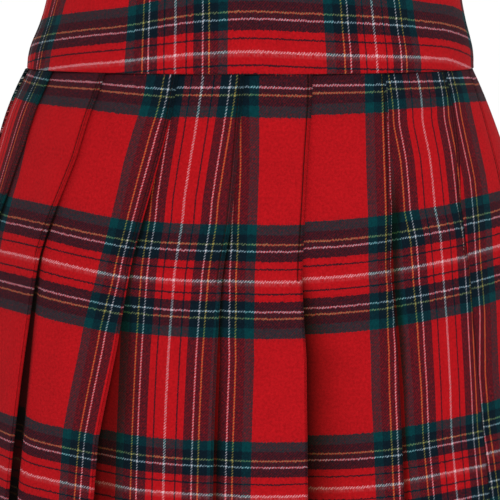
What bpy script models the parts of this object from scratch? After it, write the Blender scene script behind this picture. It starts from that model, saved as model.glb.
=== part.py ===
"""Knife-pleated skirt of brushed wool twill on a shaped yoke, in its worn form, empty.

Metres, +Z up. The origin is the centre of the waist ring at its top edge. The front faces -Y
and +X is the wearer's left side. Every piece of cloth is its own closed solid.
"""

import math

import bmesh
import bpy
from mathutils import Vector

for old in list(bpy.data.objects):
    bpy.data.objects.remove(old, do_unlink=True)

# Cloth
CLOTH = 0.0012           # one layer of the pleated cloth, measured level
YOKE_WALL = 0.0020       # yoke cloth turned over its seams, two layers pressed together
SEAM_GAP = 0.0003        # between pieces that are sewn together
CHECK_REPEAT = 0.1283    # width of one repeat of the check, across the cloth
PLEATS = 18
PLEAT_TAKE = CHECK_REPEAT * 4 / 3    # cloth used by one pleat: its face and its underlap twice
LAYER_STEP = 0.0036      # how far each pleat sinks behind the next, per pleat width

# Yoke rings: depth below the top edge, half width, half depth
YOKE_RINGS = (
    (0.0000, 0.1315, 0.0930),
    (0.0300, 0.1395, 0.0992),
    (0.0480, 0.1434, 0.1032),
    (0.0597, 0.1456, 0.1058),
)
YOKE_SEAM = 0.0600       # depth of the seam between the yoke and the pleats

# Skirt rings: cloth length below the seam, half width, half depth, drop, rise at the sides,
# shift of all folds in pleat widths
SKIRT_RINGS = (
    (0.000, 0.1450, 0.1052, 0.0000, 0.0000, -0.07),
    (0.015, 0.1502, 0.1074, 0.0147, 0.0030, -0.09),
    (0.050, 0.1608, 0.1132, 0.0490, 0.0100, -0.17),
    (0.092, 0.1728, 0.1212, 0.0902, 0.0160, -0.27),
    (0.133, 0.1830, 0.1300, 0.1303, 0.0195, -0.37),
    (0.180, 0.1900, 0.1385, 0.1763, 0.0215, -0.40),
    (0.240, 0.1980, 0.1510, 0.2347, 0.0235, -0.42),
    (0.305, 0.2055, 0.1640, 0.2980, 0.0250, -0.43),
    (0.370, 0.2120, 0.1740, 0.3616, 0.0260, -0.43),
)

# Folds: number from the centre front, own shift at the seam, hip and hem in pleat widths
FOLDS = (
    (-7, -0.52, -0.62, -0.55),
    (-6, -0.45, -0.53, -0.46),
    (-5, -0.37, -0.44, -0.38),
    (-4, -0.30, -0.35, -0.30),
    (-3, -0.22, -0.26, -0.22),
    (-2, -0.15, -0.22, -0.13),
    (-1, 0.00, -0.06, -0.15),
    (0, -0.03, 0.03, 0.05),
    (1, -0.04, -0.05, 0.00),
    (2, 0.08, 0.01, -0.01),
    (3, 0.09, -0.02, -0.01),
    (4, 0.01, -0.09, -0.08),
    (5, -0.06, -0.17, -0.15),
    (6, -0.14, -0.24, -0.21),
    (7, -0.22, -0.32, -0.28),
    (8, -0.29, -0.39, -0.35),
    (9, -0.37, -0.47, -0.42),
    (10, -0.44, -0.54, -0.48),
)
HIP_LEVEL = 0.133        # cloth length below the seam where the hip shift holds
HEM_LEVEL = 0.370

# Skirt pieces: name, fold it starts behind, last fold of the piece
SKIRT_PIECES = (
    ("skirt_front", -3, 6),
    ("skirt_back_left", 6, 11),
    ("skirt_back_right", -7, -3),
)
FACE_STEPS = 8           # spans across one pleat from its inner fold to its outer fold
UNDER_STEPS = 5          # spans across one underlap

# Yoke pieces: name, start and end angle from the centre front in degrees
YOKE_PIECES = (
    ("waistband_front", -90.0, 90.0),
    ("waistband_back_left", 90.0, 180.0),
    ("waistband_back_right", 180.0, 270.0),
)
YOKE_STEP_DEG = 7.5

# Zip in the centre back
SLIT = 0.0018            # gap between the yoke edges and between the two tapes
TAPE_WIDTH = 0.0130
TAPE_WALL = 0.0010
# Tape rows: depth below the waist, distance in from the outside of the garment
TAPE_ROWS = (
    (0.0025, 0.0023),
    (0.0300, 0.0023),
    (0.0420, 0.0034),
    (0.0600, 0.0112),
    (0.0747, 0.0112),
    (0.1090, 0.0112),
    (0.1502, 0.0112),
    (0.1680, 0.0112),
)
SLIDER_DEPTH = 0.0125    # tab hinge below the top edge
SLIDER_BODY = (0.0086, 0.0090, 0.0026)    # wide, high, thick
SLIDER_BODY_IN = 0.0036  # outer face of the body, in from the outside of the yoke
NECK_WIDTH = 0.0012
LUG_HEIGHT = 0.0036
LUG_OUT = 0.0035         # lug's reach out from the yoke
HINGE_OUT = 0.0019       # hinge line out from the yoke
LUG_HOLE_R = 0.00085
TAB_LENGTH = 0.0200
TAB_WIDTH = 0.0052
TAB_WALL = 0.0010
TAB_WINDOW = (0.0026, 0.0026)    # wide, high


def between(rows, key, column):
    """Value of a column at a key, straight between the table's rows and beyond its ends."""
    low, high = rows[0], rows[1]
    for first, second in zip(rows, rows[1:]):
        low, high = first, second
        if key <= second[0]:
            break
    part = (key - low[0]) / (high[0] - low[0])
    return low[column] + (high[column] - low[column]) * part


class Ring:
    """One level ring of the skirt, on which places are counted in pleat widths."""

    def __init__(self, level):
        self.level = level
        self.half_width = between(SKIRT_RINGS, level, 1)
        self.half_depth = between(SKIRT_RINGS, level, 2)
        self.drop = between(SKIRT_RINGS, level, 3)
        self.rise = between(SKIRT_RINGS, level, 4)
        self.shift = between(SKIRT_RINGS, level, 5)
        self.lengths = [0.0]
        self.spans = 120
        for i in range(self.spans):
            mid = (i + 0.5) / self.spans * math.pi / 2
            rate = math.hypot(self.half_width * math.cos(mid), self.half_depth * math.sin(mid))
            self.lengths.append(self.lengths[-1] + rate * math.pi / 2 / self.spans)
        self.pleat = self.lengths[-1] * 4 / PLEATS

    def angle(self, place):
        """Angle from the centre front of a place counted in pleat widths."""
        quarter = PLEATS / 4
        turns = math.floor(place / quarter)
        rest = place - turns * quarter
        backward = turns % 2 == 1
        length = (quarter - rest if backward else rest) * self.pleat
        low, high = 0, self.spans
        while high - low > 1:
            mid = (low + high) // 2
            if self.lengths[mid] <= length:
                low = mid
            else:
                high = mid
        part = (length - self.lengths[low]) / (self.lengths[high] - self.lengths[low])
        angle = (low + part) / self.spans * math.pi / 2
        return (turns + 1) * math.pi / 2 - angle if backward else turns * math.pi / 2 + angle

    def out(self, place):
        """Level way straight out of the ring at a place."""
        angle = self.angle(place)
        return Vector((self.half_depth * math.sin(angle),
                       -self.half_width * math.cos(angle))).normalized()

    def point(self, place, depth):
        """Point at a place, a distance in from the outside of the skirt."""
        angle, out = self.angle(place), self.out(place)
        across, along = math.sin(angle), math.cos(angle)
        lift = across * across * (1.35 - 0.35 * across * across)
        z = -YOKE_SEAM - self.drop + self.rise * lift
        return Vector((self.half_width * across - out.x * depth,
                       -self.half_depth * along - out.y * depth, z))

    def fold(self, number):
        """Place of a fold's outer edge."""
        turn = math.floor((number + 7) / PLEATS)
        seam, hip, hem = FOLDS[number + 7 - turn * PLEATS][1:]
        if self.level < HIP_LEVEL:
            own = seam + (hip - seam) * self.level / HIP_LEVEL
        else:
            own = hip + (hem - hip) * (self.level - HIP_LEVEL) / (HEM_LEVEL - HIP_LEVEL)
        return number + own + self.shift

    def under(self, number):
        """Underlap behind a fold, in pleat widths."""
        face = self.fold(number + 1) - self.fold(number)
        return (PLEAT_TAKE / self.pleat - face) / 2


def pleat_line(ring, first, last):
    """Middle line of the cloth from behind one fold to behind a later one, on one ring."""
    line = []
    for number in range(first + 1, last + 1):
        edge = ring.fold(number)
        back = ring.fold(number - 1) - ring.under(number - 1)
        inner = ring.fold(number) - ring.under(number)
        layer = LAYER_STEP * (ring.fold(number + 1) - edge) / 2
        layer_before = LAYER_STEP * (edge - ring.fold(number - 1)) / 2
        radius = layer / 2 / ring.pleat
        radius_before = layer_before / 2 / ring.pleat
        face_end = edge - radius - CLOTH / 2 / ring.pleat
        face_start = back + radius_before

        def face_depth(place):
            return CLOTH / 2 + LAYER_STEP * (edge - place)

        if number == first + 1:
            seam_depth = face_depth(face_start) - layer_before / 2 + SEAM_GAP / 2
            line.append(ring.point(back, seam_depth))
            line.append(ring.point(face_start - radius_before * math.sin(math.pi / 4),
                                   face_depth(face_start)
                                   - layer_before / 2 * (1 - math.cos(math.pi / 4))))
        for i in range(FACE_STEPS + 1):
            place = face_start + (face_end - face_start) * i / FACE_STEPS
            line.append(ring.point(place, face_depth(place)))
        for turn in (60, 120):
            bend = math.radians(turn)
            line.append(ring.point(face_end + radius * math.sin(bend),
                                   face_depth(face_end) + layer / 2 * (1 - math.cos(bend))))
        under_end = inner + radius
        for i in range(UNDER_STEPS + 1):
            place = face_end + (under_end - face_end) * i / UNDER_STEPS
            line.append(ring.point(place, face_depth(place) + layer))
        if number == last:
            line.append(ring.point(under_end - radius * math.sin(math.pi / 4),
                                   face_depth(under_end) + layer
                                   + layer / 2 * (1 - math.cos(math.pi / 4))))
            line.append(ring.point(inner, face_depth(under_end) + layer * 1.5 - SEAM_GAP / 2))
        else:
            for turn in (60, 120):
                bend = math.radians(turn)
                line.append(ring.point(under_end - radius * math.sin(bend),
                                       face_depth(under_end) + layer
                                       + layer / 2 * (1 - math.cos(bend))))
    start = -ring.out(ring.fold(first) - ring.under(first))
    end = -ring.out(ring.fold(last) - ring.under(last))
    return line, start, end


def thicken(line, start, end, wall):
    """Outer and inner points of a wall round a middle line that starts and ends in given ways."""
    outer, inner = [], []
    for i, here in enumerate(line):
        if i in (0, len(line) - 1):
            way = start if i == 0 else end
            side = Vector((way.y, -way.x, 0)) * wall / 2
            outer.append(here + side)
            inner.append(here - side)
            continue
        before = (here - line[i - 1]).to_2d().normalized()
        after = (line[i + 1] - here).to_2d().normalized()
        mean = (before + after).normalized()
        reach = wall / 2 / max(0.7, mean.dot(before))
        side = Vector((mean.y, -mean.x, 0)) * reach
        outer.append(here + side)
        inner.append(here - side)
    return outer, inner


def make_object(name, mesh, colour, roughness, smooth):
    material = bpy.data.materials.new(name)
    material.use_nodes = True
    shader = material.node_tree.nodes["Principled BSDF"]
    shader.inputs["Base Color"].default_value = (*colour, 1)
    shader.inputs["Roughness"].default_value = roughness
    data = bpy.data.meshes.new(name)
    bmesh.ops.recalc_face_normals(mesh, faces=mesh.faces)
    mesh.to_mesh(data)
    mesh.free()
    data.materials.append(material)
    for face in data.polygons:
        face.use_smooth = smooth
    thing = bpy.data.objects.new(name, data)
    bpy.context.scene.collection.objects.link(thing)
    return thing


def wall_from_rows(name, rows, colour, roughness=0.9):
    """Closed wall from rows of (outer points, inner points), top to bottom."""
    mesh = bmesh.new()
    grid = [[[mesh.verts.new(point) for point in side] for side in row] for row in rows]
    last = len(rows[0][0]) - 1
    for upper, lower in zip(grid, grid[1:]):
        for side, flip in ((0, False), (1, True)):
            for i in range(last):
                corners = [upper[side][i], lower[side][i], lower[side][i + 1], upper[side][i + 1]]
                mesh.faces.new(corners[::-1] if flip else corners)
        mesh.faces.new((upper[0][0], upper[1][0], lower[1][0], lower[0][0]))
        mesh.faces.new((upper[0][last], lower[0][last], lower[1][last], upper[1][last]))
    for row, flip in ((grid[0], False), (grid[-1], True)):
        for i in range(last):
            corners = [row[0][i], row[0][i + 1], row[1][i + 1], row[1][i]]
            mesh.faces.new(corners[::-1] if flip else corners)
    return make_object(name, mesh, colour, roughness, True)


def yoke_point(depth, angle, inward):
    half_width = between(YOKE_RINGS, depth, 1)
    half_depth = between(YOKE_RINGS, depth, 2)
    across, along = math.sin(angle), math.cos(angle)
    out = Vector((half_depth * across, -half_width * along)).normalized()
    return Vector((half_width * across - out.x * inward,
                   -half_depth * along - out.y * inward, -depth))


def yoke_piece(name, start, end):
    """One shaped piece of the yoke, stopping short of its seams."""
    def trim(angle):
        half_gap = SLIT / 2 if angle == 180.0 else SEAM_GAP / 2
        reach = YOKE_RINGS[0][1] if angle == 180.0 else YOKE_RINGS[0][2]
        return half_gap / reach
    low, high = math.radians(start) + trim(start), math.radians(end) - trim(end)
    spans = round((end - start) / YOKE_STEP_DEG)
    rows = []
    for depth, _, _ in YOKE_RINGS:
        row = []
        for inward in (0.0, YOKE_WALL):
            row.append([yoke_point(depth, low + (high - low) * i / spans, inward)
                        for i in range(spans + 1)])
        rows.append(row)
    wall_from_rows(name, rows, (0.36, 0.02, 0.03))


def skirt_piece(name, first, last):
    """One length of pleated cloth, from the seam behind one fold to the seam behind another."""
    rows = []
    for ring_row in SKIRT_RINGS:
        ring = Ring(ring_row[0])
        rows.append(thicken(*pleat_line(ring, first, last), CLOTH))
    wall_from_rows(name, rows, (0.42, 0.02, 0.03))


def back_half_depth(depth):
    """Outside of the garment at the centre back, at a depth below the waist."""
    if depth <= YOKE_SEAM:
        return between(YOKE_RINGS, depth, 2)
    return between([(YOKE_SEAM + row[3], row[2]) for row in SKIRT_RINGS], depth, 1)


def tape(name, side):
    """One zip tape, flat behind the slit; side is 1 on the wearer's left."""
    rows = []
    for depth, inward in TAPE_ROWS:
        y = back_half_depth(depth) - inward
        row = []
        for wall in (0.0, TAPE_WALL):
            row.append([Vector((side * (SLIT / 2 + TAPE_WIDTH * i / 3),
                                y - wall - 0.0006 * (i / 3) ** 2, -depth))
                        for i in range(4)])
        rows.append(row)
    wall_from_rows(name, rows, (0.02, 0.03, 0.04), 0.8)


def slider_frame():
    """Hinge point on the outside of the yoke, and the ways out from it and down along it."""
    top, low = YOKE_RINGS[0], YOKE_RINGS[1]
    down = Vector((0, low[2] - top[2], -(low[0] - top[0]))).normalized()
    out = Vector((0, -down.z, down.y))
    y = between(YOKE_RINGS, SLIDER_DEPTH, 2)
    return Vector((0, y, -SLIDER_DEPTH)), out, down


def prism(outline, half, origin, out, down):
    """Solid of an outline given as (out, down) pairs, from -half to +half along X."""
    mesh = bmesh.new()
    ends = []
    for x in (-half, half):
        ends.append([mesh.verts.new(origin + out * a + down * b + Vector((x, 0, 0)))
                     for a, b in outline])
    mesh.faces.new(ends[0])
    mesh.faces.new(ends[1][::-1])
    for i in range(len(outline)):
        j = (i + 1) % len(outline)
        mesh.faces.new((ends[0][i], ends[0][j], ends[1][j], ends[1][i]))
    return mesh


def cut_or_join(base, other, operation):
    """Change one solid by another and remove the other."""
    step = base.modifiers.new(operation, "BOOLEAN")
    step.operation = operation
    step.solver = "EXACT"
    step.object = other
    graph = bpy.context.evaluated_depsgraph_get()
    graph.update()
    data = bpy.data.meshes.new_from_object(base.evaluated_get(graph))
    base.modifiers.remove(step)
    base.data = data
    bpy.data.objects.remove(other, do_unlink=True)


def slider():
    """Slider body inside, neck through the slit and lug outside, with the hinge hole."""
    origin, out, down = slider_frame()
    wide, high, thick = SLIDER_BODY
    steel = (0.08, 0.08, 0.09)
    corner = 0.0008
    outline = [(-SLIDER_BODY_IN - 0.001, -LUG_HEIGHT / 2), (LUG_OUT - corner, -LUG_HEIGHT / 2),
               (LUG_OUT, -LUG_HEIGHT / 2 + corner), (LUG_OUT, LUG_HEIGHT / 2 - corner),
               (LUG_OUT - corner, LUG_HEIGHT / 2), (-SLIDER_BODY_IN - 0.001, LUG_HEIGHT / 2)]
    lug = make_object("zip_slider", prism(outline, NECK_WIDTH / 2, origin, out, down),
                      steel, 0.4, False)
    box = [(-SLIDER_BODY_IN, -high / 2), (-SLIDER_BODY_IN, high / 2),
           (-SLIDER_BODY_IN - thick, high / 2), (-SLIDER_BODY_IN - thick, -high / 2)]
    body = make_object("body_part", prism(box, wide / 2, origin, out, down), steel, 0.4, False)
    cut_or_join(lug, body, "UNION")
    hole = [(HINGE_OUT + LUG_HOLE_R * math.cos(math.radians(a)),
             LUG_HOLE_R * math.sin(math.radians(a))) for a in range(0, 360, 20)]
    pin = make_object("hole_part", prism(hole, NECK_WIDTH, origin, out, down), steel, 0.4, False)
    cut_or_join(lug, pin, "DIFFERENCE")
    keep = lug.data.materials[0]
    lug.data.materials.clear()
    lug.data.materials.append(keep)
    for face in lug.data.polygons:
        face.material_index = 0


def pull_tab():
    """Flat tab with a window at its top; its top bar turns in the slider's lug."""
    origin, out, down = slider_frame()
    hinge = origin + out * HINGE_OUT
    half, bar = TAB_WIDTH / 2, TAB_WALL / 2
    window = TAB_WINDOW[0] / 2
    bottom = TAB_LENGTH - bar
    window_low = bar + TAB_WINDOW[1]
    # Outline and window, matching corner for corner: across, down
    edge = [(-half + 0.0007, -bar), (half - 0.0007, -bar), (half, -bar + 0.0007),
            (half, window_low), (half, bottom - 0.0016), (half - 0.0016, bottom),
            (-half + 0.0016, bottom), (-half, bottom - 0.0016), (-half, window_low),
            (-half, -bar + 0.0007)]
    hole = [(-window, bar), (window, bar), (window, bar + 0.0004), (window, window_low - 0.0006),
            (window, window_low - 0.0003), (window - 0.0004, window_low),
            (-window + 0.0004, window_low), (-window, window_low - 0.0003),
            (-window, window_low - 0.0006), (-window, bar + 0.0004)]
    mesh = bmesh.new()
    sides = []
    for away in (bar, -bar):
        sides.append([[mesh.verts.new(hinge + out * away + Vector((x, 0, 0)) + down * d)
                       for x, d in loop] for loop in (edge, hole)])
    count = len(edge)
    for i in range(count):
        j = (i + 1) % count
        front, back = sides
        mesh.faces.new((front[0][i], front[0][j], front[1][j], front[1][i]))
        mesh.faces.new((back[0][j], back[0][i], back[1][i], back[1][j]))
        mesh.faces.new((front[0][j], front[0][i], back[0][i], back[0][j]))
        mesh.faces.new((front[1][i], front[1][j], back[1][j], back[1][i]))
    for vert in mesh.verts:
        vert.co -= hinge
    tab = make_object("zip_pull", mesh, (0.08, 0.08, 0.09), 0.4, False)
    tab.location = hinge


for piece in YOKE_PIECES:
    yoke_piece(*piece)
for piece in SKIRT_PIECES:
    skirt_piece(*piece)
tape("zip_tape_left", 1)
tape("zip_tape_right", -1)
slider()
pull_tab()
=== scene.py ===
"""Looks of the pleated skirt: brushed check twill, pleats, stitching, zip, light and camera."""
import math

import bpy
import numpy as np
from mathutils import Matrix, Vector


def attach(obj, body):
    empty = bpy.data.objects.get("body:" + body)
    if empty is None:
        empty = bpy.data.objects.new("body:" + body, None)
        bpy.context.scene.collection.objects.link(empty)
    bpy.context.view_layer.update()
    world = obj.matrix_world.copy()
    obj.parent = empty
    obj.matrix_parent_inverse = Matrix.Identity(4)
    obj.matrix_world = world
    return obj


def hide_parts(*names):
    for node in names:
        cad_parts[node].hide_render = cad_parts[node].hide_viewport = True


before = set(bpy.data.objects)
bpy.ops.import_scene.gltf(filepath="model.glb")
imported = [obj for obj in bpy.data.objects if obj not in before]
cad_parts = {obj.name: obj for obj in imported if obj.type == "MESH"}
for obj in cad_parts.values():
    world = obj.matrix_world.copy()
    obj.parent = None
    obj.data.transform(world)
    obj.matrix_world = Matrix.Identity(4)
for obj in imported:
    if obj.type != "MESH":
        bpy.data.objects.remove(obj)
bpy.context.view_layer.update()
view = bpy.context.scene.view_settings
view.view_transform = "Standard"
view.look = "None"

# Camera and the photograph it matches
PHOTO_SIDE = 500
PHOTO_SKIRT_X = 251            # pixel column of the skirt's centre line
CAMERA_AWAY = 3.2
CAMERA_HEIGHT = 0.066
AIM_DEPTH = 0.1685             # the camera aims this far below the waist
AIM_NEAR = 0.13                # at the cloth this far in front of the centre
PIXEL_M = 0.00065              # width of a photo pixel at the skirt's centre
SENSOR = 0.036

# Floor and light
FLOOR_Z, FLOOR_R, FLOOR_CORNERS = -0.62, 1.15, 96
WORLD_LIGHT = 1.01
KEY_PLACE, KEY_AIM = (0.25, -2.6, 1.2), (0, 0, -0.2)
KEY_SIZE, KEY_POWER = 0.8, 50

# Cloth, on the frame's form
CLOTH = 0.0011                 # wall of the pleated cloth
YOKE_WALL = 0.0016             # wall of the yoke, for two layers
CLOTH_IN = 0.0001              # how far inside the frame's surface the pleated cloth lies
YOKE_IN = 0.0004               # and the yoke
PLEATS = 18
LAYER_STEP = 0.0026            # depth in which the layers of one pleat lie
YOKE_SEAM = 0.0600             # seam below the waist's edge
YOKE_END = 0.0597              # lower edge of the yoke's cloth, just clear of the seam
LENGTH = 0.3700                # pleated cloth below the seam
WARP_REPEAT = 0.1283           # check repeat across the cloth
HALF_REPEAT = 109.0            # half a repeat in the check's own units

# Yoke rings: depth below the top edge, half width on the wearer's right and left, half depth
YOKE_RINGS = (
    (0.0000, 0.1291, 0.1350, 0.0930),
    (0.0150, 0.1334, 0.1378, 0.0960),
    (0.0300, 0.1377, 0.1404, 0.0992),
    (0.0480, 0.1440, 0.1443, 0.1032),
    (YOKE_END, 0.1460, 0.1452, 0.1058),
)

# Skirt rings: cloth length below the seam, half width, half depth, drop, rise at the sides,
# shift of all folds in pleat widths
SKIRT_RINGS = (
    (0.000, 0.1450, 0.1052, 0.0000, 0.0000, -0.07),
    (0.015, 0.1502, 0.1074, 0.0147, 0.0030, -0.09),
    (0.050, 0.1608, 0.1132, 0.0490, 0.0100, -0.17),
    (0.092, 0.1728, 0.1212, 0.0902, 0.0160, -0.27),
    (0.133, 0.1830, 0.1300, 0.1303, 0.0195, -0.37),
    (0.180, 0.1900, 0.1385, 0.1763, 0.0215, -0.40),
    (0.240, 0.1980, 0.1510, 0.2347, 0.0235, -0.42),
    (0.305, 0.2055, 0.1640, 0.2980, 0.0250, -0.43),
    (0.370, 0.2120, 0.1740, 0.3616, 0.0260, -0.43),
)

# Fold places: a row for each fold counted from the centre front, its own shift in pleat
# widths at each of the levels
FIRST_FOLD = -7
FOLD_LEVELS = (0.000, 0.030, 0.060, 0.095, 0.133, 0.180, 0.240, 0.300, 0.370)
FOLDS = {
    -7: (-0.52, -0.54, -0.57, -0.59, -0.62, -0.61, -0.59, -0.57, -0.55),
    -6: (-0.45, -0.47, -0.49, -0.51, -0.53, -0.52, -0.50, -0.48, -0.46),
    -5: (-0.37, -0.39, -0.41, -0.43, -0.44, -0.43, -0.41, -0.39, -0.38),
    -4: (-0.30, -0.32, -0.32, -0.34, -0.35, -0.34, -0.33, -0.31, -0.30),
    -3: (-0.24, -0.27, -0.20, -0.18, -0.20, -0.21, -0.20, -0.21, -0.22),
    -2: (-0.15, -0.20, -0.185, -0.245, -0.260, -0.238, -0.200, -0.165, -0.165),
    -1: (0.01, 0.015, -0.02, -0.05, -0.05, -0.09, -0.18, -0.155, -0.15),
    0: (-0.026, -0.023, 0.01, 0.037, 0.033, 0.028, 0.039, 0.055, 0.05),
    1: (-0.036, -0.058, -0.068, -0.065, -0.042, 0.006, -0.003, -0.016, 0.00),
    2: (0.085, 0.065, 0.055, 0.037, 0.015, 0.04, 0.01, -0.025, -0.01),
    3: (0.22, 0.21, 0.155, 0.050, 0.061, 0.030, -0.012, -0.024, -0.01),
    4: (0.01, -0.01, -0.04, -0.07, -0.09, -0.09, -0.08, -0.07, -0.08),
    5: (-0.06, -0.09, -0.11, -0.14, -0.17, -0.16, -0.17, -0.15, -0.15),
    6: (-0.14, -0.16, -0.19, -0.22, -0.24, -0.24, -0.22, -0.22, -0.21),
    7: (-0.22, -0.24, -0.27, -0.29, -0.32, -0.31, -0.31, -0.28, -0.28),
    8: (-0.29, -0.31, -0.34, -0.36, -0.39, -0.39, -0.37, -0.36, -0.35),
    9: (-0.37, -0.39, -0.42, -0.45, -0.47, -0.46, -0.45, -0.43, -0.42),
    10: (-0.44, -0.46, -0.49, -0.52, -0.54, -0.53, -0.51, -0.50, -0.48),
}

# Check on each fold's edge: fold, own shift in repeats
FOLD_CHECK = {-3: 0.02, -2: 0.03, -1: 0.055, 0: 0.046, 1: 0.0, 2: 0.01, 3: 0.0, 4: 0.02, 5: -0.01}
FIRST_FOLD_CHECK = 0.524       # repeats from a white line to the edge of fold 1

# Slant of the check's lines on each pleat face: fold at its right, shift of the lines to the
# right at each of the levels, in metres
SLANT_LEVELS = (0.000, 0.016, 0.035, 0.060, 0.080, 0.115, 0.140, 0.170, 0.210, 0.245, 0.370)
FACE_SLANT = {
    -3: (-0.005, -0.005, -0.005, -0.005, -0.004, -0.002, 0.0, 0.0, 0.0, 0.0, 0.0),
    -2: (-0.0218, -0.0205, -0.018, -0.0122, -0.0072, -0.003, -0.0004, 0.0, 0.0, 0.0, 0.0),
    -1: (0.0016, 0.0014, 0.0002, 0.0003, -0.0003, 0.0001, 0.0002, -0.0022, -0.0024, -0.0024,
         -0.0024),
    0: (0.0042, 0.0032, 0.0022, 0.0, -0.0011, -0.0004, 0.0, -0.0004, -0.0009, -0.0011, -0.0016),
    1: (0.0006, 0.0004, 0.0016, 0.0026, 0.0029, 0.0039, 0.0034, 0.0012, -0.0003, -0.0016, -0.004),
    2: (0.002, 0.0006, 0.0, -0.0003, 0.0, 0.001, 0.0012, -0.0012, -0.0025, -0.0026, -0.0026),
    3: (-0.0002, -0.0013, -0.0041, -0.0012, 0.0011, 0.0044, 0.0022, 0.001, -0.0015, -0.0034,
        -0.004),
    4: (0.0225, 0.021, 0.019, 0.0187, 0.0187, 0.0153, 0.012, 0.0093, 0.0018, -0.0018, -0.004),
}

# How closely the lines lie on a face against the rest of the cloth, at the same levels, and
# how much closer at its right than at its left
FACE_SPREAD = {
    -1: (1.0, 1.0, 0.97, 0.95, 1.03, 1.06, 1.0, 0.97, 0.96, 0.96, 0.96),
    1: (0.975, 0.975, 0.985, 1.0, 1.0, 1.0, 1.0, 1.0, 1.0, 1.0, 1.0),
    3: (1.0, 1.0, 1.02, 1.03, 1.02, 1.03, 1.07, 1.125, 1.16, 1.145, 1.11),
}
FACE_BEND = {
    3: (0.0, 0.0, 0.0, 0.0, 0.0, 0.05, 0.12, 0.15, 0.14, 0.1, 0.08),
}

# Check down the cloth at the centre front: cloth length below the seam, check units from the
# white line that the edge stitching ends on
CHECK_DOWN = (
    (0.0000, -197.7),
    (0.0077, -187.8),
    (0.0268, -161.0),
    (0.0947, -57.0),
    (0.1306, 0.0),
    (0.1666, 57.0),
    (0.2321, 161.0),
    (0.2661, 218.0),
    (0.3700, 386.0),
)

# How the check hangs on each pleat face: fold at its right, drop of the lines at the face's
# left and right at each of the levels, in metres
DROP_LEVELS = (0.020, 0.133, 0.265)
FACE_DROP = {
    -3: ((-0.004, 0.0, -0.001), (-0.001, 0.0015, 0.0024)),
    -2: ((-0.001, 0.0034, 0.005), (-0.001, 0.0021, 0.006)),
    -1: ((0.0, 0.0016, 0.007), (0.0024, 0.0036, 0.0047)),
    0: ((0.001, 0.0028, 0.0022), (0.0003, 0.0005, -0.0003)),
    1: ((0.0, 0.0003, 0.0), (0.0014, 0.0015, 0.0008)),
    2: ((-0.0004, 0.0, -0.003), (0.0, 0.0009, 0.0012)),
    3: ((-0.0016, 0.001, 0.0003), (-0.0006, 0.0006, 0.0014)),
    4: ((-0.0026, 0.0, -0.0045), (-0.0012, -0.002, -0.0045)),
}

# How far the lines rise beside a fold low down, where the cloth curves in: fold, rise, width
FOLD_RISE = {-2: (0.0075, 0.0045)}

# How each fold opens: fold, sink of the cloth beside it at the stitching's end and low down,
# width of that hollow low down, how steep it is, lift of the fold's edge low down
OPENING = {
    -7: (0.001, 0.005, 0.014, 1.5, 0.0015),
    -6: (0.0012, 0.0035, 0.02, 1.3, 0.001),
    -5: (0.0008, 0.006, 0.016, 1.8, 0.002),
    -4: (0.001, 0.004, 0.022, 1.3, 0.001),
    -3: (0.001, 0.006, 0.018, 1.5, 0.002),
    -2: (0.0008, 0.0036, 0.004, 3.0, 0.0022),
    -1: (0.0008, 0.006, 0.017, 2.0, 0.0026),
    0: (0.0006, 0.0035, 0.005, 2.0, 0.0012),
    1: (0.0006, 0.0045, 0.013, 1.5, 0.0018),
    2: (0.0004, 0.0015, 0.006, 2.0, 0.0008),
    3: (0.0004, 0.002, 0.006, 2.0, 0.001),
    4: (0.0008, 0.004, 0.015, 1.3, 0.0015),
    5: (0.001, 0.006, 0.02, 1.4, 0.002),
    6: (0.0006, 0.003, 0.012, 1.5, 0.001),
    7: (0.001, 0.005, 0.016, 1.3, 0.0016),
    8: (0.0014, 0.007, 0.01, 2.5, 0.002),
    9: (0.0008, 0.0035, 0.018, 1.3, 0.0012),
    10: (0.001, 0.0045, 0.02, 1.5, 0.0015),
}

# Painted shade in each fold, multiplied into the cloth's colour: fold, levels where it shows,
# widens and is full, its width at first and low down, how sharp its edge is, how dark it is
FOLD_SHADE = {
    -7: (0.12, 0.15, 0.24, 0.002, 0.01, 1.5, 0.6),
    -6: (0.13, 0.16, 0.26, 0.0015, 0.014, 1.3, 0.5),
    -5: (0.1, 0.14, 0.22, 0.002, 0.008, 2.0, 0.7),
    -4: (0.12, 0.15, 0.25, 0.0015, 0.015, 1.4, 0.55),
    -3: (0.11, 0.15, 0.24, 0.002, 0.008, 2.5, 0.75),
    -2: (0.1, 0.12, 0.27, 0.0006, 0.0038, 6.0, 0.93),
    -1: (0.07, 0.14, 0.215, 0.002, 0.015, 4.0, 0.6),
    0: (0.09, 0.14, 0.21, 0.0016, 0.004, 3.0, 0.7),
    1: (0.128, 0.132, 0.185, 0.003, 0.015, 1.3, 0.88),
    2: (0.08, 0.08, 0.24, 0.0072, 0.0056, 6.0, 0.72),
    3: (0.11, 0.15, 0.22, 0.001, 0.0022, 2.0, 0.5),
    4: (0.12, 0.15, 0.24, 0.002, 0.01, 1.5, 0.6),
    5: (0.11, 0.14, 0.22, 0.002, 0.014, 1.5, 0.65),
    6: (0.13, 0.17, 0.26, 0.0012, 0.005, 2.0, 0.6),
    7: (0.12, 0.15, 0.24, 0.0018, 0.012, 1.4, 0.65),
    8: (0.09, 0.13, 0.24, 0.0014, 0.005, 4.0, 0.92),
    9: (0.13, 0.16, 0.26, 0.0016, 0.013, 1.3, 0.55),
    10: (0.12, 0.15, 0.25, 0.0016, 0.014, 1.5, 0.6),
}
SHADE_RAMP = 0.03              # length over which a fold's painted shade comes in
UNDER_EDGE, UNDER_DARK = 0.004, 0.85   # painted shade just behind a fold's edge: width, darkness
HIDDEN_SHADE = 0.45            # painted shade: light left on the cloth between the layers
INSIDE_SHADE = 0.8             # painted shade: least light left on the cloth's inner side
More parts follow.
